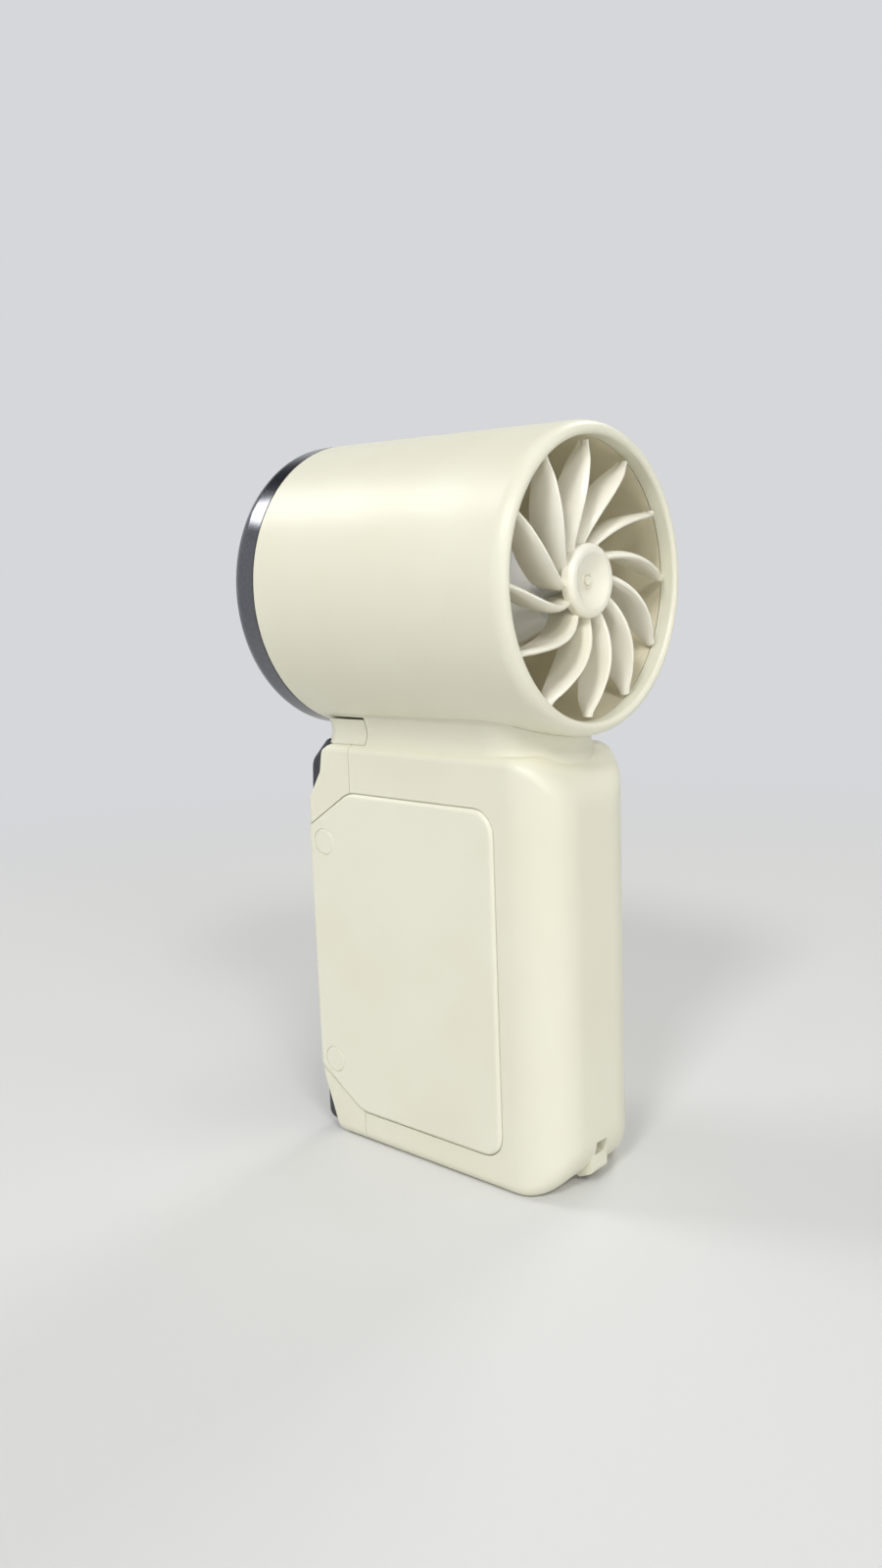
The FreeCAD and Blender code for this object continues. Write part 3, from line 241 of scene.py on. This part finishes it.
gunmetal = metal("gunmetal_plated_trim", "#6A6B70", "#74757A", 0.17, grain_mm=0.6)
dark_chrome = metal("dark_chrome_plating", "#56565A", "#59595D", 0.07, grain_mm=0.5, relief=0.0)
# pale colour and low metallic on the motor seat: painted reflection for its place in the shaded
# duct
turned_aluminium = metal("pale_turned_aluminium_painted_reflection", "#EBEBEC", "#F0F0F1", 0.32,
                         rings_mm=0.2, metallic=0.15)
cast_aluminium = metal("cast_aluminium", "#97979B", "#A5A5A8", 0.45, grain_mm=0.5, relief=0.4)
ground_steel = metal("ground_steel", "#A9A9AC", "#B4B4B7", 0.18, grain_mm=0.2)
zinc_steel = metal("zinc_plated_steel", "#8C8C90", "#9E9EA2", 0.35, grain_mm=0.5, relief=0.2)
nickel = metal("nickel_strip", "#B0ADA6", "#BDBAB3", 0.28, grain_mm=0.3)
stamped_steel = metal("stamped_stainless_steel", "#9E9EA2", "#ABABAF", 0.24, grain_mm=0.4)
bronze = metal("sintered_bronze", "#8C6A42", "#A17C4E", 0.50, grain_mm=0.15, relief=0.6)
print("materials so far:", len(bpy.data.materials))

# %% [markdown]
# ## Layers and wires in the motor
# The core of the motor is a stack of thin steel sheets, so its sides show fine lines, and the
# coils are enamelled copper wire laid side by side. Both are a wave pattern along the motor's
# axis, with hollows that are duller and darker. The darker tone is painted shade between the
# wires; between the sheets it is partly their dark joints and partly painted shade. The sheets
# are 0.35 mm thick as on a real core.

# %% Sheets, wires and magnets
STRIPE_HEIGHT = 0.05 * MM


def striped(name, dark, light, roughness, stripe_mm):
    """A metal with even stripes across the motor's axis, for stacked sheets and wound wire."""
    material, tree = new_material(name)
    place = add(tree, "ShaderNodeTexCoord").outputs["Object"]
    stripes = add(tree, "ShaderNodeTexWave", {"bands_direction": "Y"}, Vector=place,
                  Scale=WAVE_PERIOD / (stripe_mm * MM), Distortion=0.3, Detail=1.0)
    height = stripes.outputs["Fac"]
    bump = add(tree, "ShaderNodeBump", Strength=0.5, Distance=STRIPE_HEIGHT, Height=height)
    # the dark tone in the hollows is painted shade, and between the sheets partly their dark
    # joints
    tones = add(tree, "ShaderNodeValToRGB", {"stops": [(0.1, dark), (0.6, light)]}, Fac=height)
    gloss = add(tree, "ShaderNodeMapRange", Value=height, To_Min=roughness + 0.1, To_Max=roughness)
    shader = add(tree, "ShaderNodeBsdfPrincipled", Base_Color=tones.outputs["Color"],
                 Roughness=gloss.outputs["Result"], Normal=bump.outputs["Normal"], Metallic=1.0)
    add(tree, "ShaderNodeOutputMaterial", Surface=shader.outputs["BSDF"])
    return material


core_steel = striped("laminated_silicon_steel", "#3E3F42", "#77787C", 0.40, 0.35)
copper = striped("enamelled_copper_wire", "#6E2F16", "#B8653A", 0.25, 0.30)
magnet = metal("ferrite_ring_magnet", "#3A3A3C", "#464648", 0.48, grain_mm=0.25, relief=0.5)
print("motor:", core_steel.name, copper.name, magnet.name)

# %% [markdown]
# ## The control board
# A board is glass-fibre epoxy under a green solder mask. The copper tracks below the mask show
# as slightly lighter, raised lines. A brick pattern with offset rows gives straight tracks of
# mixed length without drawing each one; the parts on the board are black moulded epoxy.

# %% Board and components
TRACK_LENGTH = 4.0 * MM
TRACK_HEIGHT = 0.04 * MM
board_green, tree = new_material("solder_mask_green")
place = add(tree, "ShaderNodeTexCoord").outputs["Object"]
upright = add(tree, "ShaderNodeMapping", Vector=place)
upright.inputs["Rotation"].default_value = (math.radians(90), 0, 0)
tracks = add(tree, "ShaderNodeTexBrick", {"offset": 0.37, "offset_frequency": 3},
             Vector=upright.outputs["Vector"], Scale=1 / TRACK_LENGTH, Mortar_Size=0.06,
             Brick_Width=1.6, Row_Height=0.35)
relief = add(tree, "ShaderNodeBump", Strength=0.4, Distance=TRACK_HEIGHT,
             Height=tracks.outputs["Fac"])
tones = add(tree, "ShaderNodeValToRGB", {"stops": [(0.2, "#0F4A2A"), (0.8, "#2A7A4C")]},
            Fac=tracks.outputs["Fac"])
shader = add(tree, "ShaderNodeBsdfPrincipled", Base_Color=tones.outputs["Color"], Roughness=0.30,
             Normal=relief.outputs["Normal"], IOR=1.55)
add(tree, "ShaderNodeOutputMaterial", Surface=shader.outputs["BSDF"])
component_black = moulded("moulded_black_epoxy", "#17171A", "#212124", 0.50,
                          ripple_mm=0.25, relief=0.3)
print("board:", board_green.name, component_black.name)

# %% [markdown]
# ## The cells
# The two lithium cells wear a blue shrink sleeve that is thin and glossy, with the bare nickel
# plated can showing at both ends. One material does both: the height along the cell picks the
# sleeve or the metal, with a sharp step where the sleeve is cut.

# %% Sleeved cells
BARE_END = 0.8 * MM
WRINKLE_WIDTH, WRINKLE_HEIGHT = 3.0 * MM, 0.05 * MM
cell_sleeve, tree = new_material("pvc_shrink_sleeve")
place = add(tree, "ShaderNodeTexCoord").outputs["Object"]
height = add(tree, "ShaderNodeSeparateXYZ", Vector=place).outputs["Z"]
low, high = (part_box("cell_rear")[i].z for i in (0, 1))
above = add(tree, "ShaderNodeMath", {"operation": "GREATER_THAN"}, _0=height, _1=low + BARE_END)
below = add(tree, "ShaderNodeMath", {"operation": "LESS_THAN"}, _0=height, _1=high - BARE_END)
sleeve = add(tree, "ShaderNodeMath", {"operation": "MULTIPLY"},
             _0=above.outputs[0], _1=below.outputs[0]).outputs[0]
wrinkle = add(tree, "ShaderNodeTexNoise", Vector=place, Scale=1 / WRINKLE_WIDTH, Detail=2.0)
relief = add(tree, "ShaderNodeBump", Strength=0.2, Distance=WRINKLE_HEIGHT,
             Height=wrinkle.outputs["Fac"])
tones = add(tree, "ShaderNodeValToRGB", {"stops": [(0.45, "#B9B7B0"), (0.55, "#2A5F99")]},
            Fac=sleeve)
gloss = add(tree, "ShaderNodeMapRange", Value=wrinkle.outputs["Fac"], To_Min=0.20, To_Max=0.32)
bare = add(tree, "ShaderNodeMath", {"operation": "SUBTRACT"}, _0=1.0, _1=sleeve)
shader = add(tree, "ShaderNodeBsdfPrincipled", Base_Color=tones.outputs["Color"],
             Roughness=gloss.outputs["Result"], Normal=relief.outputs["Normal"],
             Metallic=bare.outputs[0])
add(tree, "ShaderNodeOutputMaterial", Surface=shader.outputs["BSDF"])
print("cell from", round(low / MM, 1), "to", round(high / MM, 1), "mm")

# %% [markdown]
# ## The display
# The display sits behind a smoked acrylic window. Acrylic takes a fine polish, so it mirrors
# the room and lets only a little light through; the module behind it is black and satin.

# %% Smoked acrylic
SMOKE_WIDTH = 6.0 * MM
smoked, tree = new_material("smoked_acrylic")
place = add(tree, "ShaderNodeTexCoord").outputs["Object"]
clouds = add(tree, "ShaderNodeTexNoise", Vector=place, Scale=1 / SMOKE_WIDTH, Detail=2.0)
tones = add(tree, "ShaderNodeValToRGB", {"stops": [(0.35, "#4A4B4F"), (0.65, "#55565A")]},
            Fac=clouds.outputs["Fac"])
gloss = add(tree, "ShaderNodeMapRange", Value=clouds.outputs["Fac"], To_Min=0.03, To_Max=0.06)
shader = add(tree, "ShaderNodeBsdfPrincipled", Base_Color=tones.outputs["Color"],
             Roughness=gloss.outputs["Result"], IOR=1.49, Transmission_Weight=0.85)
add(tree, "ShaderNodeOutputMaterial", Surface=shader.outputs["BSDF"])
module_black = moulded("module_black_epoxy", "#0B0B0C", "#101012", 0.35, ripple_mm=0.5)
print("display:", smoked.name, module_black.name)

# %% [markdown]
# ## Dress the hidden parts
# The parts inside the grip and the motor keep their solid meshes, which are already right, and
# only take a material. The outer parts follow, because they also need smooth shading.

# %% Materials for the inner parts


def dress(material, *names):
    """Give the solid parts with these names one material."""
    for name in names:
        data = frame["nodes"][name].data
        data.materials.clear()
        data.materials.append(material)
    print(material.name, "on", *names)


dress(ground_steel, "motor_shaft")
dress(bronze, "front_bearing", "rear_bearing")
dress(zinc_steel, "rotor_bell", "base_screws", "board_screws", "duct_screws", "shell_screws")
dress(magnet, "rotor_magnets")
dress(core_steel, "stator_core")
dress(copper, "stator_windings")
dress(cast_aluminium, "motor_base")
dress(lead_rubber, "motor_lead")
dress(natural_nylon, "lead_connector")
dress(board_green, "control_board")
dress(component_black, "board_components")
dress(black_nylon, "power_switch")
dress(tray_black, "battery_tray")
dress(nickel, "cell_strips")
dress(cell_sleeve, "cell_front", "cell_rear")
dress(module_black, "display_module")

# %% [markdown]
# ## Joints of the front shell
# Where two mouldings meet, the real joint reads as a fine dark line, which a perfect fit would
# not show. The front shell is therefore drawn a little short: by 0.14 mm where it meets the
# rear shell, and by 0.45 mm under the duct. Its corners on those faces are picked by their
# place and moved in edit mode.

# %% Open joint lines
BODY_SEAM_Y, NECK_SEAM_Y = -18.15 * MM, -14.25 * MM
ON_SEAM = 0.05 * MM
JOINT_GAP = 0.14 * MM
NECK_RIM_Z = 95.7 * MM
NECK_SLOT = 0.45 * MM


def shift_corners(part, chosen, step):
    """Move the corners whose place passes a test, with all else left as it is."""
    mesh = bmesh.from_edit_mesh(part.data)
    bpy.ops.mesh.select_mode(type="VERT")
    bpy.ops.mesh.select_all(action="DESELECT")
    for corner in mesh.verts:
        corner.select_set(chosen(corner.co))
    mesh.select_flush_mode()
    bmesh.update_edit_mesh(part.data)
    bpy.ops.transform.translate(value=step)
    print(part.name, "corners moved:", sum(corner.select for corner in mesh.verts))


def open_front_joints(part):
    """Let the front shell stop short of the rear shell and of the duct."""
    for seam in (BODY_SEAM_Y, NECK_SEAM_Y):
        shift_corners(part, lambda at: abs(at.y - seam) < ON_SEAM, (0, -JOINT_GAP, 0))
    shift_corners(part, lambda at: at.z > NECK_RIM_Z, (0, 0, -NECK_SLOT))


# %% [markdown]
# ## Round marks on the side panels
# The mould left two round marks on each side panel, which show as fine ring grooves. The solid
# part has a shallow sunk disc for each. Its faces are pushed in a little more and inset, and
# the middle is then lifted level with the panel again, which leaves the groove round it.

# %% Ring the round marks
MARK_Y = -26.5 * MM
MARK_HEIGHTS = (68.6 * MM, 18.0 * MM)
MARK_RADIUS = 3.0 * MM
MARK_DEPTH = 0.15 * MM
ON_DISC = 0.02 * MM
RING_WIDTH = 0.35 * MM
RING_EXTRA_DEPTH = 0.12 * MM


def ring_marks(part):
    """Lift the middle of both sunk round marks again, which leaves a fine ring groove."""
    mesh = bmesh.from_edit_mesh(part.data)
    outermost = max((corner.co.x for corner in mesh.verts), key=abs)
    side = math.copysign(1, outermost)
    bpy.ops.mesh.select_mode(type="FACE")
    for height in MARK_HEIGHTS:
        middle = Vector((outermost - side * MARK_DEPTH, MARK_Y, height))
        bpy.ops.mesh.select_all(action="DESELECT")
        mesh = bmesh.from_edit_mesh(part.data)
        for face in mesh.faces:
            away = face.calc_center_median() - middle
            face.select_set(abs(away.x) < ON_DISC and away.length < MARK_RADIUS)
        bmesh.update_edit_mesh(part.data)
        print(part.name, "mark faces:", sum(face.select for face in mesh.faces))
        bpy.ops.transform.translate(value=(-side * RING_EXTRA_DEPTH, 0, 0))
        bpy.ops.mesh.inset(thickness=RING_WIDTH)
        bpy.ops.transform.translate(value=(side * (RING_EXTRA_DEPTH + MARK_DEPTH), 0, 0))


print("a ring is", round((RING_EXTRA_DEPTH + MARK_DEPTH) / MM, 2), "mm deep")

# %% [markdown]
# ## Smooth outer parts
# A solid part arrives as loose flat triangles, so a glossy curve would show facets. Each outer
# part is therefore copied, its touching corners are merged, and its faces are shaded smooth up
# to an angle, beyond which an edge stays sharp. Weighted normals then keep the flat faces
# flat beside their rounded edges, and the copy stands for the part.

# %% Copy, merge and shade
SMOOTH_UP_TO = math.radians(32)


def smooth_copy(node, title, body, material, adjust=None):
    """Stand a smoothly shaded copy in for a solid part, adjusted in edit mode where needed."""
    bpy.ops.object.select_all(action="DESELECT")
    original = frame["nodes"][node]
    original.select_set(True)
    bpy.context.view_layer.objects.active = original
    bpy.ops.object.duplicate()
    copy = bpy.context.object
    copy.name = title
    copy.data.name = title
    del copy["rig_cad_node"]
    bpy.ops.mesh.customdata_custom_splitnormals_clear()
    bpy.ops.object.mode_set(mode="EDIT")
    bpy.ops.mesh.select_all(action="SELECT")
    bpy.ops.mesh.remove_doubles(threshold=MERGE_DISTANCE)
    if adjust is not None:
        adjust(copy)
    bpy.ops.object.mode_set(mode="OBJECT")
    bpy.ops.object.shade_smooth_by_angle(angle=SMOOTH_UP_TO)
    weigh = copy.modifiers.new("weigh", "WEIGHTED_NORMAL")
    weigh.keep_sharp = True
    bpy.ops.object.modifier_apply(modifier=weigh.name)
    copy.data.materials.clear()
    copy.data.materials.append(material)
    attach(copy, body)
    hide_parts(node)
    print(title, len(copy.data.polygons), "faces")


smooth_copy("head_housing", "duct_skin", "grip", cream)
smooth_copy("rear_shell", "rear_shell_skin", "grip", cream)
smooth_copy("front_shell", "front_shell_skin", "grip", cream,
            adjust=open_front_joints)
for side in ("right", "left"):
    smooth_copy(f"side_panel_{side}", f"{side}_panel_skin", "grip", cream_satin,
                adjust=ring_marks)
# the vane ring wears the cream copy with painted shade
smooth_copy("guide_vanes", "vane_ring_skin", "grip", inner_cream_painted_shade)
smooth_copy("impeller", "wheel_skin", "rotor", wheel_cream)
smooth_copy("nose_cone", "nose_cone_skin", "grip", pale_grey)
smooth_copy("tail_cone", "tail_cone_skin", "grip", pale_grey)
# the motor seat's pale tone is a painted reflection
smooth_copy("bearing_housing", "motor_seat_skin", "grip", turned_aluminium)
smooth_copy("outlet_ring", "outlet_trim_skin", "grip", gunmetal)
smooth_copy("front_plate", "front_plate_skin", "grip", dark_chrome)
smooth_copy("display_lens", "display_window_skin", "grip", smoked)
smooth_copy("power_button", "power_button_skin", "button", button_cream)
smooth_copy("charging_socket", "charging_socket_skin", "grip", stamped_steel)

# %% [markdown]
# ## The eye of the wheel
# In the middle of the wheel's dish the shaft's end shows inside a small moulded bead. A bead is
# a turned shape: its section is drawn corner by corner with extrude, and spin sweeps it once
# round the axis. The seam is then merged and the faces are turned outwards.

# %% A recipe for turned pieces
wheel_joint = next(joint for joint in frame["joints"] if joint["name"] == "impeller_spin")
DUCT_AXIS_Z = wheel_joint["pos_m"][2]
SPIN_STEPS = 64
TURNED_SMOOTH_UP_TO = math.radians(40)


def turned_piece(title, section_mm, body, material):
    """Spin a section of (radius, y) corners once round the duct's axis."""
    bpy.ops.object.select_all(action="DESELECT")
    radius, y = section_mm[0]
    bpy.ops.mesh.primitive_plane_add(size=MM, location=(radius * MM, y * MM, DUCT_AXIS_Z))
    piece = bpy.context.object
    piece.name = title
    bpy.ops.object.transform_apply(location=True, rotation=True, scale=True)
    bpy.ops.object.mode_set(mode="EDIT")
    bpy.ops.mesh.select_mode(type="VERT")
    bpy.ops.mesh.select_all(action="SELECT")
    bpy.ops.mesh.merge(type="CENTER")
    for (r0, y0), (r1, y1) in zip(section_mm, section_mm[1:]):
        step = ((r1 - r0) * MM, (y1 - y0) * MM, 0)
        bpy.ops.mesh.extrude_region_move(TRANSFORM_OT_translate={"value": step})
    bpy.ops.mesh.select_all(action="SELECT")
    bpy.ops.mesh.remove_doubles(threshold=MERGE_DISTANCE)
    bpy.ops.mesh.spin(steps=SPIN_STEPS, angle=math.tau, center=(0, 0, DUCT_AXIS_Z), axis=(0, 1, 0))
    bpy.ops.mesh.select_all(action="SELECT")
    bpy.ops.mesh.remove_doubles(threshold=MERGE_DISTANCE)
    bpy.ops.mesh.normals_make_consistent(inside=False)
    bpy.ops.object.mode_set(mode="OBJECT")
    bpy.ops.object.shade_smooth_by_angle(angle=TURNED_SMOOTH_UP_TO)
    piece.data.materials.append(material)
    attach(piece, body)
    print(title, len(piece.data.polygons), "faces")


# up the inner wall from the foot, over the crown, down the outer wall and back along the foot
bead_section = [(1.20, 33.25), (1.20, 33.62), (1.26, 33.74), (1.38, 33.80), (1.50, 33.74),
                (1.56, 33.62), (1.56, 33.25), (1.20, 33.25)]
turned_piece("wheel_eye_bead", bead_section, "rotor", wheel_cream)

# %% [markdown]
# ## Floor and surround
# The fan stands on a wide sheet of pale paper. Near the fan the paper is lit by the lamps and
# takes the fan's shadow; farther out it fades into the tone of the surround, as a curved
# backdrop does, so there is no hard horizon from any side. An even surround fills the shadows.
# The camera, mirror and glass rays see it at its own brightness, pale at eye level and darker
# overhead, which gives the metal trim its dark and light bands, but it lights the fan at a
# lower level.

# %% Tell seen rays from lighting rays


def seen_directly(tree):
    """1 for a ray from the camera, off a mirror or through glass, and 0 for a lighting ray."""
    rays = add(tree, "ShaderNodeLightPath").outputs
    seen = rays["Is Camera Ray"]
    for kind in ("Is Glossy Ray", "Is Transmission Ray"):
        either = add(tree, "ShaderNodeMath", {"operation": "MAXIMUM"}, _0=seen, _1=rays[kind])
        seen = either.outputs[0]
    return seen


# %% Floor
SURROUND = "#D6D7DA"
FLOOR_SIZE = 12.0
HAZE_START, HAZE_END = 0.20, 0.55
bpy.ops.object.select_all(action="DESELECT")
bpy.ops.mesh.primitive_plane_add(size=FLOOR_SIZE, location=(0, 0, 0))
floor = bpy.context.object
floor.name = "floor"
paper, tree = new_material("floor_paper")
place = add(tree, "ShaderNodeTexCoord").outputs["Object"]
reach = add(tree, "ShaderNodeVectorMath", {"operation": "LENGTH"}, _0=place).outputs["Value"]
far = add(tree, "ShaderNodeMapRange", {"interpolation_type": "SMOOTHSTEP"}, Value=reach,
          From_Min=HAZE_START, From_Max=HAZE_END).outputs["Result"]
matt = add(tree, "ShaderNodeBsdfPrincipled", Base_Color=linear("#DBDBD9"), Roughness=0.9)
haze = add(tree, "ShaderNodeEmission", Color=linear(SURROUND), Strength=1.0)
fade = add(tree, "ShaderNodeMath", {"operation": "MULTIPLY"}, _0=seen_directly(tree), _1=far)
mixed = add(tree, "ShaderNodeMixShader", _0=fade.outputs[0],
            _1=matt.outputs[0], _2=haze.outputs[0])
add(tree, "ShaderNodeOutputMaterial", Surface=mixed.outputs[0])
floor.data.materials.append(paper)
print("paper fades out from", HAZE_START, "to", HAZE_END, "m")

# %% Surround
OVERHEAD = "#4A4D54"
OVERHEAD_START, OVERHEAD_END = 0.40, 0.62
world = bpy.data.worlds.new("studio")
bpy.context.scene.world = world
world.use_nodes = True
tree = world.node_tree
tree.nodes.clear()
direction = add(tree, "ShaderNodeTexCoord").outputs["Generated"]
upward = add(tree, "ShaderNodeSeparateXYZ", Vector=direction).outputs["Z"]
ceiling = add(tree, "ShaderNodeMapRange", {"interpolation_type": "SMOOTHSTEP"}, Value=upward,
              From_Min=OVERHEAD_START, From_Max=OVERHEAD_END).outputs["Result"]
tones = add(tree, "ShaderNodeValToRGB", {"stops": [(0.0, SURROUND), (1.0, OVERHEAD)]}, Fac=ceiling)
picture = add(tree, "ShaderNodeBackground", Color=tones.outputs["Color"], Strength=1.0)
light = add(tree, "ShaderNodeBackground", Color=linear("#F6F5F2"), Strength=0.33)
mixed = add(tree, "ShaderNodeMixShader", _0=seen_directly(tree),
            _1=light.outputs[0], _2=picture.outputs[0])
add(tree, "ShaderNodeOutputWorld", Surface=mixed.outputs[0])
print("the surround darkens", round(math.degrees(math.asin(OVERHEAD_START))), "degrees up")

# %% [markdown]
# ## Lamps
# Six soft boxes, all hidden from the camera, light the fan. The two strongest stand high on the
# camera's side and give the form its soft shading; a low one fills the intake, a weak one
# lights the top, and one in front and one on the left keep the far sides open. Each is square
# and faces the middle of the fan.

# %% Soft boxes
FAN_MIDDLE = Vector((0, 0, 0.08))


def lamp(name, place, size, power, colour):
    """A square soft box that faces the fan, in metres and watts, and is itself not seen."""
    data = bpy.data.lights.new(name, "AREA")
    data.size = size
    data.energy = power
    data.color = linear(colour)[:3]
    soft_box = bpy.data.objects.new(name, data)
    bpy.context.scene.collection.objects.link(soft_box)
    soft_box.location = Vector(place)
    soft_box.rotation_euler = (Vector(place) - FAN_MIDDLE).to_track_quat("Z", "Y").to_euler()
    soft_box.visible_camera = False
    print(name, power, "W")


lamp("key", (0.82, 1.18, 1.25), 0.36, 9.0, "#FBFCFF")
lamp("side", (1.38, 0.52, 1.35), 0.34, 13.0, "#FBFCFF")
lamp("top", (-0.10, 0.40, 1.90), 0.4, 2.5, "#F8FAFF")
lamp("intake_fill", (0.55, 1.50, 0.42), 0.5, 4.0, "#FFFFFF")
lamp("front", (0.45, -1.20, 1.25), 0.5, 6.5, "#FFFFFF")
lamp("left", (-1.25, -0.15, 1.30), 0.5, 5.5, "#FFFFFF")

bpy.context.scene.view_settings.view_transform = "Standard"
